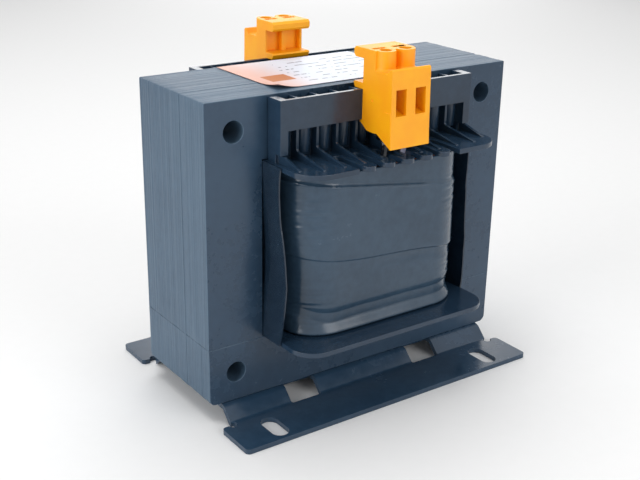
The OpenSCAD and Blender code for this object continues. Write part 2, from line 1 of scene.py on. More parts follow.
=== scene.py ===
# %% [markdown]
# # A laminated chassis transformer, dressed for its portrait
#
# The construction model gives every part its place and size.  This lesson adds what a
# solid model can't show: the edges of the core's sheets, the film that is drawn round the
# coil, varnish that has run and pooled, moulded plastic and a printed label.
# Lengths below are written in millimetres, because that is how a transformer is drawn,
# and one function turns them into Blender's metres.

# %% Load the packed model as a fixed frame
import bpy
import bmesh
import numpy as np
from mathutils import Matrix, Vector
from mathutils.geometry import tessellate_polygon


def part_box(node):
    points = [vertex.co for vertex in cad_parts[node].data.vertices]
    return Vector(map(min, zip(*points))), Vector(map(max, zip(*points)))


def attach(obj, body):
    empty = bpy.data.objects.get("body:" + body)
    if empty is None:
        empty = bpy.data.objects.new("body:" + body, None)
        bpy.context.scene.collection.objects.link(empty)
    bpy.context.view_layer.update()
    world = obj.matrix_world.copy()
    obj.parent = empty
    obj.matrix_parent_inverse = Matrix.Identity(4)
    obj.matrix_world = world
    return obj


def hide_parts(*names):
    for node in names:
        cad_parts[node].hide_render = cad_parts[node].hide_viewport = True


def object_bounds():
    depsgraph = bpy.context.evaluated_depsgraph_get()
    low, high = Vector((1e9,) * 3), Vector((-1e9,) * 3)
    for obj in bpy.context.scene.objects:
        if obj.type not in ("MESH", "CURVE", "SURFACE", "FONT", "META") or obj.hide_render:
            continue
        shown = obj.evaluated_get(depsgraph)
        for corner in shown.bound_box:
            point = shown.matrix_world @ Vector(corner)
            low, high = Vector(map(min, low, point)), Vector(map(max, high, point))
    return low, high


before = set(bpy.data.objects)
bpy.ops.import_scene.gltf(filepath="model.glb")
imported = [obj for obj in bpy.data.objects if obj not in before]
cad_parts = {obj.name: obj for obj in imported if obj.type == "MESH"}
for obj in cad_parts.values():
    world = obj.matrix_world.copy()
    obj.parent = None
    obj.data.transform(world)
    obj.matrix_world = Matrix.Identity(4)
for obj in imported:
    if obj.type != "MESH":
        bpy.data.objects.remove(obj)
cad_low, cad_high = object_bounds()
MM = 0.001
print("CAD box in mm:", [round(v / MM, 2) for v in (*cad_low, *cad_high)])


def node_box(node):
    """Lowest and highest corner of a construction node, in millimetres."""
    low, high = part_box(node)
    return np.array(low) / MM, np.array(high) / MM


# %% [markdown]
# ## The studio
#
# The transformer stands on a pale floor in soft light.  The camera looks down on its front
# left corner.  A large soft lamp above makes the top the lightest side, one on the left
# lights the edges of the sheets, one fills the front, and a weak one behind on the right
# leaves a sheen on the top.  Area lamps were chosen because a large one has no hard shadow.

# %% Camera
AZIMUTH, ELEVATION, ROLL = np.radians([-35.52, 21.09, 1.02])
DISTANCE, TARGET, LENS = 376.5, np.array([-2.85, 0, 45.17]), 60.07


def place_camera():
    """Camera at a distance from its target; its back vector follows from azimuth and elevation."""
    back = np.array([np.sin(AZIMUTH) * np.cos(ELEVATION),
                     -np.cos(AZIMUTH) * np.cos(ELEVATION), np.sin(ELEVATION)])
    right = np.array([np.cos(AZIMUTH), np.sin(AZIMUTH), 0])
    up = np.cross(back, right)
    right, up = (np.cos(ROLL) * right + np.sin(ROLL) * up,
                 np.cos(ROLL) * up - np.sin(ROLL) * right)
    camera = bpy.data.objects.new("studio_camera", bpy.data.cameras.new("studio_camera"))
    turned = Matrix(np.column_stack([right, up, back]).tolist()).to_4x4()
    turned.translation = Vector((TARGET + back * DISTANCE) * MM)
    camera.matrix_world = turned
    camera.data.lens, camera.data.sensor_width = LENS, 36
    camera.data.clip_start, camera.data.clip_end = 0.01, 20
    bpy.context.scene.collection.objects.link(camera)
    bpy.context.scene.camera = camera


place_camera()
bpy.context.scene.view_settings.view_transform = "Standard"
print(f"camera {DISTANCE} mm from its target, lens {LENS} mm")

# %% Lamps


def soft_lamp(name, place, aim, size, power):
    """Square area lamp, in millimetres and watts, turned towards a point."""
    lamp = bpy.data.objects.new(name, bpy.data.lights.new(name, "AREA"))
    lamp.data.size, lamp.data.energy = size * MM, power
    lamp.location = Vector(place) * MM
    lamp.rotation_euler = (Vector(aim) - Vector(place)).to_track_quat("-Z", "Y").to_euler()
    bpy.context.scene.collection.objects.link(lamp)


MIDDLE = (0, 0, 55)
LAMPS = {
    "lamp_above": ((60, 180, 900), 800, 5.6),
    "lamp_left": ((-900, -60, 360), 600, 4.8),
    "lamp_front": ((260, -900, 420), 600, 3.4),
    "lamp_behind": ((620, 860, 330), 500, 1.3),
}
for name, (place, size, power) in LAMPS.items():
    soft_lamp(name, place, MIDDLE, size, power)
print("lamps:", ", ".join(LAMPS))

# %% [markdown]
# ## Writing materials as sums
#
# A material is a graph of nodes, but it reads better as arithmetic.  A small class wraps an
# output socket, and its operators add Math nodes.  Any other node comes from one method
# of the finish: its type, its settings, then the values or links of its sockets.

# %% A socket that can be used in expressions


class Wire:
    """A value on its way through a finish: a socket that adds Math nodes when it is used."""

    def __init__(self, finish, socket):
        self.finish, self.socket = finish, socket

    def _math(self, operation, *values):
        return self.finish.node("Math", {"operation": operation}, dict(enumerate(values)))

    def __add__(self, other):
        return self._math("ADD", self, other)

    def __sub__(self, other):
        return self._math("SUBTRACT", self, other)

    def __rsub__(self, other):
        return self._math("SUBTRACT", other, self)

    def __mul__(self, other):
        return self._math("MULTIPLY", self, other)

    def __lt__(self, other):
        return self._math("LESS_THAN", self, other)

    def __gt__(self, other):
        return self._math("GREATER_THAN", self, other)

    # a + b and a * b may be read backwards, so 1 + mask and 2 * mask work too
    __radd__, __rmul__ = __add__, __mul__

    def sine(self):
        return self._math("SINE", self)

    def between(self, low, high):
        return self._math("MINIMUM", self._math("MAXIMUM", self, low), high)

    def rise(self, low, high):
        """0 below low, 1 above high and a smooth step between them."""
        return self.finish.node("MapRange", {"interpolation_type": "SMOOTHSTEP"},
                                {"Value": self, "From Min": low, "From Max": high})


print("a wire understands + - * < > and", ", ".join(
    name for name in vars(Wire) if not name.startswith("_")))

# %% A finish: one material and the method that adds its nodes


class Finish:
    """A procedural material with a Principled shader, built by calling node()."""

    def __init__(self, name):
        self.material = bpy.data.materials.new(name)
        self.material.use_nodes = True
        self.tree = self.material.node_tree
        self.shader = self.tree.nodes["Principled BSDF"]
        self.place = self.node("TexCoord", out="Object")

    def node(self, kind, settings=None, values=None, out=0):
        """Adds a node: settings first, then each socket's number, colour or link."""
        node = self.tree.nodes.new("ShaderNode" + kind)
        for key, value in (settings or {}).items():
            setattr(node, key, value)
        for key, value in (values or {}).items():
            self.feed(node.inputs[key], value)
        return Wire(self, node.outputs[out])

    def feed(self, socket, value):
        """Links a wire to a socket, or sets the socket's own value."""
        if isinstance(value, Wire):
            self.tree.links.new(value.socket, socket)
        elif hasattr(value, "__len__") and socket.type == "RGBA":
            socket.default_value = (*value, 1)[:4]
        else:
            socket.default_value = value

    def noise(self, scale, detail=2.0, roughness=0.5, stretch=(1, 1, 1)):
        """Noise from 0 to 1 with features about 1/scale millimetres wide."""
        spread = self.node("Mapping", None, {
            "Vector": self.place, "Scale": tuple(scale / MM * s for s in stretch)})
        return self.node("TexNoise", None, {
            "Vector": spread, "Scale": 1.0, "Detail": detail, "Roughness": roughness})

    def axes(self):
        """The place's three coordinates in millimetres."""
        split = [self.node("SeparateXYZ", None, {"Vector": self.place}, out) for out in range(3)]
        return [wire * (1 / MM) for wire in split]

    def mix(self, low, high, share):
        """Colour between low and high."""
        return self.node("Mix", {"data_type": "RGBA"}, {0: share, 6: low, 7: high}, out=2)

    def bump(self, height, distance):
        """Normal from a height that rises by distance millimetres from 0 to 1."""
        return self.node("Bump", None, {
            "Height": height, "Distance": distance * MM, "Strength": 1.0})

    def paint(self, **sockets):
        """Sets or links the shader's sockets; Base_Color means Base Color."""
        for key, value in sockets.items():
            self.feed(self.shader.inputs[key.replace("_", " ")], value)
        return self.material


def srgb(code):
    """Linear colour from a hex code: a power of 2.4 of each share, straight near black."""
    share = np.array([int(code[i:i + 2], 16) for i in (0, 2, 4)]) / 255
    return tuple(np.where(share <= 0.04045, share / 12.92, ((share + 0.055) / 1.055) ** 2.4))


print("half grey, 808080, is", round(float(srgb("808080")[0]), 3), "in linear light")

# %% [markdown]
# ## World and floor
#
# The world lights the object softly, and the camera and the reflections see plain white
# in its place.  The floor is a plain pale sheet that takes the object's shadow.

# %% World


def light_world(strength):
    """White world: full strength to camera, gloss and glass, and less as a source of light."""
    world = bpy.data.worlds.new("studio_world")
    world.use_nodes = True
    bpy.context.scene.world = world
    nodes, links = world.node_tree.nodes, world.node_tree.links
    rays = nodes.new("ShaderNodeLightPath")
    seen = None
    for ray in ("Is Camera Ray", "Is Glossy Ray", "Is Transmission Ray"):
        add = nodes.new("ShaderNodeMath")
        add.operation, add.use_clamp = "ADD", True
        links.new(rays.outputs[ray], add.inputs[0])
        if seen:
            links.new(seen, add.inputs[1])
        else:
            add.inputs[1].default_value = 0
        seen = add.outputs[0]
    scale = nodes.new("ShaderNodeMapRange")
    links.new(seen, scale.inputs["Value"])
    scale.inputs["To Min"].default_value = strength
    links.new(scale.outputs[0], nodes["Background"].inputs["Strength"])
    nodes["Background"].inputs["Color"].default_value = (1, 1, 1, 1)


WORLD_LIGHT = 0.34
light_world(WORLD_LIGHT)
print("world lights at", WORLD_LIGHT, "and shows as 1.0")

# %% Floor


def lay_floor():
    """A flat sheet 6 m wide just under the feet."""
    half, z = 3.0, cad_low.z - 0.02 * MM
    mesh = bpy.data.meshes.new("studio_floor")
    mesh.from_pydata([(-half, -half, z), (half, -half, z), (half, half, z), (-half, half, z)],
                     [], [(0, 1, 2, 3)])
    floor = bpy.data.objects.new("studio_floor", mesh)
    bpy.context.scene.collection.objects.link(floor)
    finish = Finish("floor_paper")
    grain = finish.noise(0.2, detail=3)
    mesh.materials.append(finish.paint(
        Base_Color=finish.mix((0.85, 0.85, 0.85), (0.87, 0.87, 0.87), grain), Roughness=0.8))


lay_floor()
print("floor laid at", round(cad_low.z / MM - 0.02, 3), "mm")

# %% [markdown]
# ## Surfaces from grids
#
# Most pieces below are one grid of points: a function of two parameters, worked out for
# all points at once.  `weave` joins the grid's points with four-sided faces, and
# `add_piece` turns a closed shell right side out by the sign of its volume, hangs it on
# the frame and gives it a finish.  A sculpted mesh could be freer, but a formula can be
# read, repeated and changed.

# %% Faces of a grid


def weave(rows, columns, round_rows=False, round_columns=False, start=0):
    """Four-sided faces between neighbouring points of a rows by columns grid."""
    r = np.arange(rows if round_rows else rows - 1)[:, None]
    c = np.arange(columns if round_columns else columns - 1)[None, :]
    r1, c1 = (r + 1) % rows, (c + 1) % columns
    corners = [r * columns + c, r * columns + c1, r1 * columns + c1, r1 * columns + c]
    return (np.stack(np.broadcast_arrays(*corners), -1).reshape(-1, 4) + start).tolist()


def shell_volume(points, faces):
    """Signed volume of a closed shell: the sum of the tetrahedra from the origin to its faces."""
    total = 0.0
    by_size = {}
    for face in faces:
        by_size.setdefault(len(face), []).append(face)
    for size, group in by_size.items():
        corner = points[np.array(group)]
        for k in range(1, size - 1):
            total += np.einsum("ij,ij->", corner[:, 0], np.cross(corner[:, k], corner[:, k + 1]))
    return total / 6


print("faces of a 3 by 4 grid:", len(weave(3, 4)))

# %% Adding a piece


def add_piece(name, points, faces, material, replaces=(), sharp=35.0):
    """Mesh piece from points in millimetres, riding on the one body of the transformer."""
    points = np.asarray(points, float).reshape(-1, 3)
    if shell_volume(points, faces) < 0:
        faces = [face[::-1] for face in faces]
    mesh = bpy.data.meshes.new(name)
    mesh.from_pydata((points * MM).tolist(), [], faces)
    mesh.polygons.foreach_set("use_smooth", np.ones(len(mesh.polygons), bool))
    mesh.set_sharp_from_angle(angle=np.radians(sharp))
    mesh.materials.append(material)
    piece = bpy.data.objects.new(name, mesh)
    bpy.context.scene.collection.objects.link(piece)
    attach(piece, "root")
    if replaces:
        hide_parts(*replaces)
    print(f"{name}: {len(points)} points, {len(faces)} faces")
    return piece


def wobble(seed, *terms):
    """Smooth pseudo-random waves: a sum of sines of each term with seeded phases, from -1 to 1."""
    draw = np.random.default_rng(seed)
    total = 0
    for term in terms:
        for octave in (1.0, 2.3, 4.1):
            total = total + np.sin(octave * term * draw.uniform(0.8, 1.2)
                                   + draw.uniform(0, 6.28)) / octave
    return total / (1.67 * len(terms))


# %% [markdown]
# ## The varnish
#
# The finished transformer is dipped in slate-blue varnish.  It dries to a satin skin over
# everything but the terminal blocks and the label: thin and lighter on broad faces, dark
# where it lies thick.  Colour and roughness drift slowly, with finer cloudiness on top,
# and a faint ripple in the skin breaks up reflections.

# %% Varnish colours
EDGE_THIN, EDGE_THICK = (0.076, 0.130, 0.190), (0.047, 0.087, 0.138)
FACE_THIN, FACE_THICK = (0.027, 0.060, 0.106), (0.017, 0.041, 0.076)


def varnish(name, thin=FACE_THIN, thick=FACE_THICK, rough=(0.2, 0.36), ripple=0.02, lines=None):
    """Dipped varnish: slow drift of colour and gloss, and a skin ripple.

    lines stretches a fine noise so that it draws the joints between sheets: faint all over,
    and here and there a darker one, broken where a slow noise covers it."""
    finish = Finish(name)
    drift = finish.noise(0.03, detail=3)
    cloud = finish.noise(0.35, detail=4, roughness=0.6)
    share = (drift * 0.6 + cloud * 0.4).rise(0.3, 0.7)
    skin = finish.noise(0.25, detail=2) + finish.noise(1.6, detail=2) * 0.25
    if lines:
        fine = finish.noise(1.0, detail=3, roughness=0.65, stretch=lines)
        broken = finish.noise(0.12, detail=2).rise(0.42, 0.6)
        share = share * 0.75 + fine * 0.25 - (fine.rise(0.6, 0.72) * broken * 0.7)
        skin = skin + fine
    finish.paint(
        Base_Color=finish.mix(thick, thin, share.between(0, 1)),
        Roughness=rough[0] + (rough[1] - rough[0]) * share,
        Normal=finish.bump(skin, ripple), Metallic=0.0, IOR=1.5)
    return finish.material


side_varnish = varnish("varnish_on_sheet_edges", thin=EDGE_THIN, thick=EDGE_THICK,
                       rough=(0.34, 0.46), ripple=0.03, lines=(0.015, 1.7, 0.015))
face_varnish = varnish("varnish_on_sheet_faces")
steel_varnish = varnish("varnish_on_steel", rough=(0.16, 0.3))
former_varnish = varnish("varnish_on_former", thin=(0.019, 0.042, 0.076),
                         thick=(0.011, 0.027, 0.052), rough=(0.12, 0.26), ripple=0.04)
print("varnishes:", ", ".join(material.name for material in bpy.data.materials))

# %% [markdown]
# ## The core
#
# The core is a pile of thin sheets, half a millimetre each, with their flat faces to the
# front and the rear.  Seen from the side it shows the sheets' edges as fine lines, and no
# two sheets lie quite flush.  One closed surface makes the whole pile: the sheet's outline
# is carried along the depth, and at every sheet it steps in or out by a few hundredths.

# %% Outline of the sheets
E_LOW, E_HIGH = node_box("e_core")
I_LOW = node_box("i_core")[0]
HALF_W, HALF_T = E_HIGH[0], E_HIGH[1]
JOINT, TOP, BOTTOM = E_LOW[2], E_HIGH[2], I_LOW[2]
LEG, WINDOW, WINDOW_TOP = 20.0, 20.0, TOP - 20.0
HOLE_R, HOLE_IN = 3.5, 10.0
SHEET = 0.5


def dotted(corners, step=4.0):
    """Closed outline with points at most one step apart, from its corners."""
    runs = []
    for a, b in zip(corners, np.roll(corners, -1, axis=0)):
        count = max(1, int(np.ceil(np.linalg.norm(b - a) / step)))
        runs.append(a + (b - a) * np.arange(count)[:, None] / count)
    return np.concatenate(runs)


def corner_arc(centre, radius, start, stop, count=7):
    """Points on an arc, with angles in degrees."""
    turn = np.radians(np.linspace(start, stop, count))
    return np.array(centre) + radius * np.column_stack([np.cos(turn), np.sin(turn)])


def e_outline():
    """E sheet: back on top, three legs down, with hardly rounded upper corners."""
    r, leg, gap = 0.5, LEG, LEG + WINDOW
    return dotted(np.concatenate([
        [(-HALF_W, JOINT)], corner_arc((-HALF_W + r, TOP - r), r, 180, 90, 4),
        corner_arc((HALF_W - r, TOP - r), r, 90, 0, 4), [(HALF_W, JOINT)],
        [(gap, JOINT), (gap, WINDOW_TOP), (leg, WINDOW_TOP), (leg, JOINT),
         (-leg, JOINT), (-leg, WINDOW_TOP), (-gap, WINDOW_TOP), (-gap, JOINT)]]))


def i_outline(r=2.4):
    """I sheet: a bar with round lower corners."""
    return dotted(np.concatenate([
        [(-HALF_W, JOINT), (HALF_W, JOINT)],
        corner_arc((HALF_W - r, BOTTOM + r), r, 0, -90),
        corner_arc((-HALF_W + r, BOTTOM + r), r, 270, 180)]))


print(f"outlines: E {len(e_outline())} points, I {len(i_outline())} points")

# %% Steps of the sheets along the depth


def sheet_stations(seed):
    """Depth and set-back of each station: a groove at every joint between two sheets."""
    draw = np.random.default_rng(seed)
    count = int(round(2 * HALF_T / SHEET))
    edges = np.linspace(-HALF_T, HALF_T, count + 1)
    width = edges[1] - edges[0]
    packets = np.repeat(draw.uniform(0, 0.10, count // 5 + 1), 5)[:count]
    back = packets + draw.uniform(0, 0.05, count)
    groove = draw.uniform(0.03, 0.10, count + 1)
    y = np.column_stack([edges[:-1], edges[:-1] + 0.22 * width, edges[:-1] + 0.78 * width])
    depth = np.column_stack([
        np.maximum(back, np.roll(back, 1)) + groove[:-1], back, back])
    y, depth = np.append(y.ravel(), HALF_T), np.append(depth.ravel(), back[-1] + 0.15)
    depth[0] = back[0] + 0.15
    return y, depth


def inward(outline, outer):
    """Unit vectors to the inside for points on the outer sides, and zero elsewhere."""
    along = np.roll(outline, -1, axis=0) - np.roll(outline, 1, axis=0)
    along /= np.linalg.norm(along, axis=1)[:, None]
    turned = np.column_stack([along[:, 1], -along[:, 0]])
    if np.sum(np.cross(outline, np.roll(outline, -1, axis=0))) > 0:
        turned = -turned
    return turned * outer[:, None]


def sheet_pile(name, outline, outer, holes, seed, replaced):
    """Outline carried along the depth, set back at every sheet; its lids have round holes."""
    y, depth = sheet_stations(seed)
    lean = inward(outline, outer)
    run = np.cumsum(np.linalg.norm(np.diff(outline, axis=0, prepend=outline[:1]), axis=1))
    waviness = 0.02 * wobble(seed, run[None, :] * 0.05 + 0 * y[:, None], y[:, None] * 2.1)
    plan = outline[None] + (depth[:, None] + waviness)[..., None] * lean[None]
    skin = np.stack([plan[..., 0], np.broadcast_to(y[:, None], plan.shape[:2]), plan[..., 1]], -1)
    rows, columns = skin.shape[:2]
    points, faces = [skin.reshape(-1, 3)], weave(rows, columns, round_columns=True)
    total = rows * columns
    turn = np.linspace(0, 2 * np.pi, 48, endpoint=False)
    bevel_y = np.array([-HALF_T, -HALF_T + 0.15, HALF_T - 0.15, HALF_T])
    bevel_r = HOLE_R + np.array([0.15, 0, 0, 0.15])
    rings = []
    for x, z in holes:
        ring = np.stack([x + bevel_r[:, None] * np.cos(turn),
                         np.broadcast_to(bevel_y[:, None], (4, 48)),
                         z + bevel_r[:, None] * np.sin(turn)], -1)
        points.append(ring.reshape(-1, 3))
        faces += [face[::-1] for face in weave(4, 48, round_columns=True, start=total)]
        rings.append(total)
        total += 4 * 48
    points = np.concatenate(points)
    for row, flip in ((0, False), (1, True)):
        loops = [np.arange(columns) + row * (rows - 1) * columns]
        loops += [start + row * 3 * 48 + np.arange(48) for start in rings]
        order = np.concatenate(loops)
        flat = [[Vector((points[i, 0], points[i, 2], 0)) for i in loop] for loop in loops]
        for triangle in tessellate_polygon(flat):
            a, b, c = points[order[list(triangle)]]
            up = (b[0] - a[0]) * (c[2] - a[2]) - (b[2] - a[2]) * (c[0] - a[0])
            front = order[list(triangle)] if up > 0 else order[list(triangle)][::-1]
            faces.append([int(i) for i in (front[::-1] if flip else front)])
    # Walls run with the outline; turn them where they disagree with the lids
    if np.sum(np.cross(outline, np.roll(outline, -1, axis=0))) > 0:
        walls = (rows - 1) * columns
        faces[:walls] = [face[::-1] for face in faces[:walls]]
    return add_piece(name, points, faces, side_varnish, (replaced,), sharp=30)


# %% The two piles
e_line, i_line = e_outline(), i_outline()
e_outer = ((np.abs(e_line[:, 0]) > HALF_W - 0.6) | (e_line[:, 1] > TOP - 0.6)).astype(float)
i_outer = (i_line[:, 1] < JOINT + 1).astype(float)
e_pile = sheet_pile("e_sheet_pile", e_line, e_outer,
                    [(s * (HALF_W - HOLE_IN), TOP - HOLE_IN) for s in (-1, 1)], 11, "e_core")
i_pile = sheet_pile("i_sheet_pile", i_line, i_outer,
                    [(s * (HALF_W - HOLE_IN), BOTTOM + HOLE_IN) for s in (-1, 1)], 23, "i_core")


def face_finish(piece, material):
    """Gives the flat front and rear of a pile their own finish."""
    piece.data.materials.append(material)
    normal = np.zeros(len(piece.data.polygons) * 3)
    piece.data.polygons.foreach_get("normal", normal)
    flat = np.abs(normal.reshape(-1, 3)[:, 1]) > 0.99
    piece.data.polygons.foreach_set("material_index", flat.astype(np.int32))


face_finish(e_pile, face_varnish)
face_finish(i_pile, face_varnish)
print("flat faces of the E pile:", sum(face.material_index for face in e_pile.data.polygons))

# %% [markdown]
# ## Softening the edges of solid parts
#
# Pressed, moulded and varnished parts never have knife edges.  For the rails, the coil
# former, the terminal blocks and their metal, a copy of the construction mesh is merged
# to one skin, flat areas become single faces, and a narrow bevel rounds the edges, which
# then catch light as the real ones do.

# %% Rounded copy of a construction node


def soften(node, name, width, material, segments=2, angle=28.0):
    """Copy of a node with its loose triangles merged and its edges rounded."""
    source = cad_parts[node]
    mesh = bpy.data.meshes.new(name)
    work = bmesh.new()
    work.from_mesh(source.data)
    bmesh.ops.remove_doubles(work, verts=work.verts, dist=0.002 * MM)
    bmesh.ops.dissolve_limit(work, angle_limit=np.radians(0.5), verts=work.verts,
                             edges=work.edges)
    work.to_mesh(mesh)
    work.free()
    mesh.materials.clear()
    mesh.materials.append(material)
    mesh.polygons.foreach_set("use_smooth", np.ones(len(mesh.polygons), bool))
    piece = bpy.data.objects.new(name, mesh)
    bpy.context.scene.collection.objects.link(piece)
    bevel = piece.modifiers.new("round_edges", "BEVEL")
    bevel.width, bevel.segments = width * MM, segments
    bevel.limit_method, bevel.angle_limit = "ANGLE", np.radians(angle)
    bevel.harden_normals = False
    bevel.miter_outer = "MITER_ARC"
    weighted = piece.modifiers.new("even_shading", "WEIGHTED_NORMAL")
    weighted.keep_sharp = True
    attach(piece, "root")
    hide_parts(node)
    print(f"{name}: {len(mesh.polygons)} faces before its bevel of {width} mm")
    return piece


soften("front_foot_rail", "front_rail", 0.25, steel_varnish)
soften("rear_foot_rail", "rear_rail", 0.25, steel_varnish)
soften("coil_former", "former_moulding", 0.3, former_varnish)

# %% [markdown]
# ## Orange terminal blocks
#
# The blocks are moulded in bright orange plastic with a fine satin skin.  A weak mottle and a
# fine grain keep broad faces from looking like paint.

# %% Orange plastic


def orange_plastic():
    """Orange moulding: slow mottle of colour, fine grain in the skin."""
    finish = Finish("orange_moulding")
    mottle = finish.noise(0.12, detail=3)
    grain = finish.noise(2.5, detail=2)
    finish.paint(
        Base_Color=finish.mix((0.98, 0.37, 0.0), (1.0, 0.43, 0.0), mottle.rise(0.3, 0.7)),
        Roughness=0.38 + 0.1 * grain, Normal=finish.bump(grain, 0.008))
    return finish.material


orange = orange_plastic()
for side in ("front", "rear"):
    soften(f"{side}_terminal_housing", f"{side}_block", 0.22, orange)

# %% [markdown]
# ## Plated metal
#
# Clamp bodies, screws and solder tags are plated.  The plating is bright with fine
# scratches along one direction, and it dulls in patches.

# %% Plated finishes


def plated(name, light, dull):
    """Plated metal: bright and dull patches, and fine scratches."""
    finish = Finish(name)
    patch = finish.noise(0.4, detail=4)
    scratch = finish.noise(3.0, detail=2, stretch=(1, 1, 0.1))
    finish.paint(Base_Color=finish.mix(light, dull, patch.rise(0.4, 0.7)), Metallic=1.0,
                 Roughness=0.22 + 0.2 * patch + 0.06 * scratch,
                 Normal=finish.bump(scratch, 0.01))
    return finish.material


nickel = plated("nickel_plating", srgb("cfcabd"), srgb("a9a498"))
zinc = plated("zinc_plating", srgb("dcdad4"), srgb("b3b2ae"))
for side in ("front", "rear"):
    soften(f"{side}_clamp_bodies", f"{side}_clamps", 0.12, nickel)
    soften(f"{side}_clamp_screws", f"{side}_screws", 0.15, zinc)
    soften(f"{side}_solder_tags", f"{side}_tags", 0.1, nickel)

# %% [markdown]
# ## The coil and its film
#
# Two windings lie one over the other, and several turns of film are drawn tight round
# them.  The film shows how it was wound: shallow ridges where it turns the corners, one
# turn that ends along a slanting edge, a bright fold near the top, and a lower edge
# that curls outwards.  The wrap is one closed grid: once round the coil in one direction,
# and up the outside, in over the top and down the inside in the other.

# %% Path round the coil
WRAP_LOW, WRAP_HIGH = node_box("coil_wrap")
SECONDARY_HIGH = node_box("secondary_winding")[1]
COIL_FOOT, COIL_HEAD = WRAP_LOW[2], WRAP_HIGH[2]
LAP = 0.6
COIL_X, COIL_Y = WRAP_HIGH[0] - LAP, WRAP_HIGH[1] - LAP
CORNER = COIL_X - 20.3


def ring_path(count, half_x, half_y, radius):
    """Points and outward unit vectors round a rounded rectangle, evenly spaced, from the
    middle of the right side against the clock."""
    straight_x, straight_y, quarter = half_x - radius, half_y - radius, np.pi / 2 * radius
    lengths = np.array([straight_y, quarter, 2 * straight_x, quarter, 2 * straight_y,
                        quarter, 2 * straight_x, quarter, straight_y])
    ends = np.concatenate([[0], np.cumsum(lengths)])
    s = np.linspace(0, ends[-1], count, endpoint=False)
    part = np.clip(np.searchsorted(ends, s, side="right") - 1, 0, 8)
    t = (s - ends[part]) / lengths[part]
    turn = np.radians(np.where(part % 2 == 1, (part - 1) // 2 * 90 + 90 * t, (part // 2) % 4 * 90))
    out = np.column_stack([np.cos(turn), np.sin(turn)])
    start = np.array([[half_x, 0], [0, 0], [straight_x, half_y], [0, 0], [-half_x, straight_y],
                      [0, 0], [-straight_x, -half_y], [0, 0], [half_x, -straight_y]])
    step = np.array([[0, straight_y], [0, 0], [-2 * straight_x, 0], [0, 0], [0, -2 * straight_y],
                     [0, 0], [2 * straight_x, 0], [0, 0], [0, straight_y]])
    centre = np.array([[0, 0], [straight_x, straight_y], [0, 0], [-straight_x, straight_y],
                       [0, 0], [-straight_x, -straight_y], [0, 0], [straight_x, -straight_y],
                       [0, 0]])
    flat = start[part] + step[part] * t[:, None]
    bent = centre[part] + radius * out
    return np.where((part % 2 == 1)[:, None], bent, flat), out


def step_up(value, low, high):
    """0 below low, 1 above high, with a smooth step between."""
    t = np.clip((value - low) / (high - low), 0, 1)
    return t * t * (3 - 2 * t)


def hump(value, centre, width):
    """Bell of height 1 round a centre."""
    return np.exp(-((value - centre) / width) ** 2)


print("wrap: half width", round(COIL_X, 2), "half depth", round(COIL_Y, 2),
      "corner", round(CORNER, 2))

# %% Relief of the film
FILM_LEFT = -36  # where the film's lines are measured from, at the left of the front
LAP_EDGE, TOP_FOLD, CURL_TOP, HOLLOW = 54.8, 79.6, 31.5, 33.4  # heights of its features


def film_relief(x, z, out):
    """Height of the film above the tight coil, in millimetres, at places on its surface.

    Sum of: ridges where the film turns a corner; the slanting end of the last turn, with
    the film swollen above it; a tight fold near the top; a curl at the lower edge; and
    long slack waves on the flat sides."""
    corner = (np.abs(out[:, 0]) * np.abs(out[:, 1]) * 2) ** 0.6
    front = step_up(-out[:, 1], 0.0, 0.7)
    ridge = np.sin(z * 1.9 + 0.8 * np.sin(z * 0.37)) * 0.5 + np.sin(z * 3.7 + 1.0) * 0.25
    relief = 0.16 * corner[None] * ridge[:, None] * (0.5 + 0.5 * np.sin(z * 0.21))[:, None]
    # The last turn ends along a line that slants down towards the right of the front
    run = x[None] - FILM_LEFT
    edge = LAP_EDGE - 0.10 * run + 0.5 * np.sin(x[None] * 0.12) + 0 * z[:, None]
    over = step_up(z[:, None], edge - 0.35, edge + 0.35)
    gape = hump(x[None], 12, 17) * front[None]
    relief = relief + over * (0.45 + 0.75 * gape * np.exp(-(z[:, None] - edge) / 9.0))
    # Under the free edge the turn below lies hollow
    relief = relief - 0.5 * gape * hump(z[:, None], edge - 2.2, 1.8)
    # Tight fold near the top
    fold = TOP_FOLD - 0.14 * run
    relief = relief + 0.35 * hump(z[:, None], fold, 0.35) * step_up(18 - x[None], 0, 6)
    relief = relief - 0.5 * step_up(z[:, None], fold, fold + 1.4) * front[None]
    # Lower edge curls outwards, above a hollow that runs along it
    relief = relief + 1.0 * step_up(CURL_TOP - z[:, None], 0, 3.2) * front[None]
    hollow = HOLLOW + 3.0 * hump(x[None], -34, 7)
    relief = relief - 0.9 * hump(z[:, None], hollow, 2.4) * front[None]
    slack = wobble(5, x * 0.11)[None] * wobble(6, z * 0.13)[:, None]
    return relief + 0.22 * slack


# %% The wrap
RIM_ROUND = 0.3
RELIEF_ROOM = (-0.55, 1.55)  # stays outside the winding and inside the former's flanges


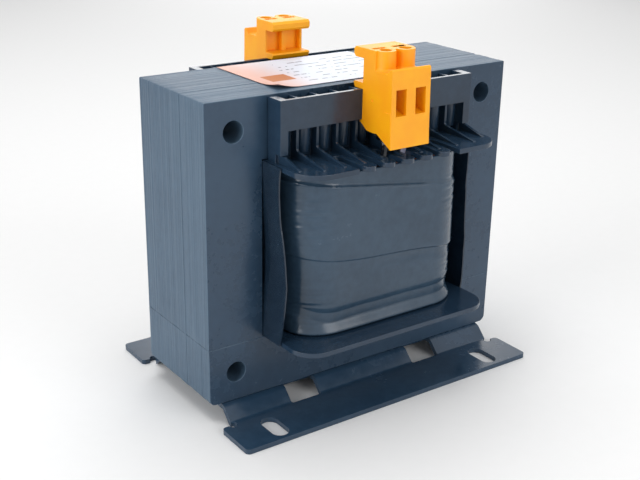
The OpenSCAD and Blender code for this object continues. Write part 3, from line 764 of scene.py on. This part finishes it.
def wrap_coil():
    """Closed sleeve: outside with the film's relief, rounded rims, and a plain inside."""
    columns = 420
    at, out = ring_path(columns, COIL_X, COIL_Y, CORNER)
    z = np.linspace(COIL_FOOT + RIM_ROUND, COIL_HEAD - RIM_ROUND, 200)
    relief = film_relief(at[:, 0], z, out)
    room = np.clip(relief, *RELIEF_ROOM)
    outside = at[None] + room[..., None] * out[None]
    outer = np.stack([outside[..., 0], outside[..., 1],
                      np.broadcast_to(z[:, None], outside.shape[:2])], -1)

    def rim(row, gap, level):
        """A ring set in from a row of the outside, at another level."""
        ring = row.copy()
        ring[:, :2] -= gap * out
        ring[:, 2] = level
        return ring[None]

    wall = COIL_X - SECONDARY_HIGH[0]
    inside, _ = ring_path(columns, COIL_X - wall, COIL_Y - wall, CORNER - wall)
    lower = np.column_stack([inside, np.full(columns, COIL_FOOT)])[None]
    upper = np.column_stack([inside, np.full(columns, COIL_HEAD)])[None]
    grid = np.concatenate([
        lower, rim(outer[0], 0.25, COIL_FOOT), rim(outer[0], 0.07, COIL_FOOT + 0.08), outer,
        rim(outer[-1], 0.07, COIL_HEAD - 0.08), rim(outer[-1], 0.25, COIL_HEAD), upper])
    rows = len(grid)
    return grid, weave(rows, columns, round_rows=True, round_columns=True)


film = varnish("film_under_varnish", thin=(0.036, 0.070, 0.112), thick=(0.022, 0.046, 0.078),
               rough=(0.16, 0.28), ripple=0.03)
grid, faces = wrap_coil()
add_piece("coil_film", grid, faces, film, ("coil_wrap",), sharp=60)

# %% [markdown]
# ## The windings inside
#
# Little of the windings shows, but each gets the look of wound wire: rows of round turns
# as a ripple up the coil, in warm enamelled copper with a painted highlight on each turn's
# crown, and pale paper between the two.

# %% Wire and paper


def wound_wire(name, pitch):
    """Enamelled wire in rows: a sine ripple along the height, and a painted highlight on each
    turn's crown.
    """
    finish = Finish(name)
    _, _, z = finish.axes()
    crown_and_highlight = (z * (2 * np.pi / pitch)).sine() * 0.5 + 0.5
    patch = finish.noise(0.15, detail=3)
    # Colour: each turn's crown is painted brighter as a painted highlight, mixed with a patch of
    # random tone
    finish.paint(Base_Color=finish.mix(srgb("6e3412"), srgb("b0602a"), crown_and_highlight * 0.7 + patch * 0.3),
                 Metallic=0.85, Roughness=0.3 + 0.15 * patch, Normal=finish.bump(crown_and_highlight, 0.25))
    return finish.material


def winding_paper():
    """Pale film and paper: fibres across the sheet and slight yellowing."""
    finish = Finish("winding_paper")
    fibre = finish.noise(1.2, detail=4, stretch=(1, 1, 0.2))
    finish.paint(Base_Color=finish.mix(srgb("cfc3a0"), srgb("ddd5b8"), fibre),
                 Roughness=0.6, Normal=finish.bump(fibre, 0.03))
    return finish.material


def clothe(node, material):
    """Gives a construction node that stays its finish."""
    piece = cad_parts[node]
    piece.data.materials.clear()
    piece.data.materials.append(material)
    print(f"{node}: finished with {material.name}")


clothe("primary_winding", wound_wire("primary_wire", 0.9))
clothe("secondary_winding", wound_wire("secondary_wire", 1.9))
clothe("layer_insulation", winding_paper())
clothe("rail_welds", steel_varnish)

# %% [markdown]
# ## Insulation strips
#
# A stiff strip of pressboard stands in each window between the coil and the outer leg.
# Its free edge is wavy, and it bows in towards the coil between the flanges.  The strip is
# a closed thin sheet: two grids of points, one per face, joined round the edge.

# %% Strips


def closed_sheet(middle, side, thickness):
    """Thin closed sheet round a grid of middle points: each face is offset by half the
    thickness along the side vectors, and a rounded rim joins them."""
    rows, columns = middle.shape[:2]
    half = 0.5 * thickness * side
    top, under = middle + half, middle - half
    points = np.concatenate([top.reshape(-1, 3), under.reshape(-1, 3)])
    faces = weave(rows, columns)
    faces += [face[::-1] for face in weave(rows, columns, start=rows * columns)]
    edge = np.concatenate([
        np.arange(columns - 1), np.arange(rows - 1) * columns + columns - 1,
        (rows * columns - 1) - np.arange(columns - 1),
        (rows - 1 - np.arange(rows - 1)) * columns])
    after = np.roll(edge, -1)
    shift = rows * columns
    faces += np.column_stack([after, edge, edge + shift, after + shift]).tolist()
    return points, faces


def strip_grid(side, bow, reach, wave):
    """Strip in a window: upright, with waves in both free edges and a bow to the coil."""
    t = np.linspace(0, 1, 90)
    s = np.linspace(-1, 1, 60)
    foot, rise, flat = JOINT + 0.3, 59.3, LEG + WINDOW - 0.45
    edge = HALF_T + reach + wave * np.sin(2 * np.pi * t - 0.26) + 0.15 * wobble(41, t * 23)
    x = side * (flat - bow * np.sin(np.pi * t) ** 2 * (1.2 - 0.6 * t))
    y = s[None] * edge[:, None]
    lean = 0.5 * side * step_up(np.abs(s)[None], 0.75, 1.0) * np.sin(2 * np.pi * t - 0.6)[:, None]
    return np.stack([x[:, None] + 0.35 * lean, y, (foot + rise * t)[:, None] + 0 * y], -1)


strip_finish = varnish("varnish_on_pressboard", thin=(0.016, 0.032, 0.054),
                       thick=(0.008, 0.018, 0.034), rough=(0.14, 0.3), ripple=0.05)
for name, side, bow, reach, wave in (("left", -1, 1.4, 10.2, 1.8), ("right", 1, 0.7, 7.6, 0.45)):
    middle = strip_grid(side, bow, reach, wave)
    points, faces = closed_sheet(middle, np.array([1.0, 0, 0]), 0.5)
    add_piece(f"{name}_strip", points, faces, strip_finish,
              (f"{name}_insulation_strip",))

# %% [markdown]
# ## Leads
#
# Under each block, sleeved wires and a flat strip carry the windings' ends up to the
# solder tags.  Their shapes come from the construction model, where each is a profile
# carried along a smooth path, so they only need a finish: bare wire, a glossy black
# sleeve, or a grey strip with lines along it.

# %% Finishes of the leads


def glossy_sleeve():
    """Black sleeve under varnish: nearly smooth, with a slight orange peel."""
    finish = Finish("black_sleeve")
    peel = finish.noise(1.2, detail=2)
    finish.paint(Base_Color=finish.mix((0.006, 0.007, 0.010), (0.014, 0.016, 0.022), peel),
                 Roughness=0.12 + 0.12 * peel, Normal=finish.bump(peel, 0.05))
    return finish.material


def grey_strip():
    """Grey-violet insulated strip with fine lengthwise lines."""
    finish = Finish("grey_strip")
    line = finish.noise(3.0, detail=2, stretch=(1, 0.1, 0.1))
    finish.paint(Base_Color=finish.mix(srgb("6f7186"), srgb("9a9cb2"), line),
                 Roughness=0.35 + 0.2 * line, Normal=finish.bump(line, 0.03))
    return finish.material


sleeve, strip_skin = glossy_sleeve(), grey_strip()
clothe("front_wire_lead", wound_wire("front_wire", 0.7))
clothe("rear_wire_leads", wound_wire("rear_wire", 0.7))
clothe("rear_lead_sleeves", sleeve)
clothe("front_lead_sleeve", sleeve)
clothe("front_strip_lead", strip_skin)

# %% [markdown]
# ## The label
#
# A white paper label lies on the top of the core.  Its print is generic: rules, blocks
# and bars with no words.  The front left corner has let go of the varnish and lifts.

# %% Label
LABEL_LOW, LABEL_HIGH = node_box("rating_label")


def label_grid():
    """Sheet on the core's top; the lift grows with the square of the distance past a line
    across the front left corner."""
    x = np.linspace(LABEL_LOW[0], LABEL_HIGH[0], 110)
    y = np.linspace(LABEL_LOW[1], LABEL_HIGH[1], 80)
    past = np.maximum(0, 9 - (x[None] - x[0]) - 0.8 * (y[:, None] - y[0])) / 9
    lift = 1.6 * past ** 2 + 0.03 * (1 + wobble(9, x * 0.3)[None] * wobble(10, y * 0.4)[:, None])
    z = TOP + 0.12 + lift
    return np.stack([*np.broadcast_arrays(x[None], y[:, None], z)], -1)


def label_print():
    """Generic print: a colour wash on the left, a brown block, rules and rows of dashes."""
    finish = Finish("label_print")
    x, y, _ = finish.axes()
    left, near = LABEL_LOW[0], LABEL_LOW[1]
    wash = 1 - (x - left).rise(0, 22)
    tint = finish.noise(0.08, detail=2)
    ground = finish.mix((0.68, 0.74, 0.83), srgb("d89a80"), wash * (0.65 + 0.35 * tint))

    def box(x0, x1, y0, y1):
        """1 inside a rectangle measured from the label's near left corner."""
        inside_x = ((x - left) > x0) * ((x - left) < x1)
        return inside_x * ((y - near) > y0) * ((y - near) < y1)

    ground = finish.mix(ground, srgb("b5692f"), box(4, 13, 9, 17))
    rows = ((y - near) * (2 * np.pi / 4.2)).sine() > 0.82
    dashes = finish.noise(0.55, detail=1, stretch=(1, 0.25, 1)) > 0.5
    field = box(15, 51, 3, 34)
    ink = finish.mix(ground, srgb("4a5064"), rows * dashes * field * 0.85)
    fibre = finish.noise(1.5, detail=3)
    finish.paint(Base_Color=ink, Roughness=0.42 + 0.1 * fibre, Normal=finish.bump(fibre, 0.01))
    return finish.material


points, faces = closed_sheet(label_grid(), np.array([0, 0, 1.0]), 0.12)
add_piece("paper_label", points, faces, label_print(), ("rating_label",))

# %% [markdown]
# The dressed model may stand only slightly proud of the construction model.
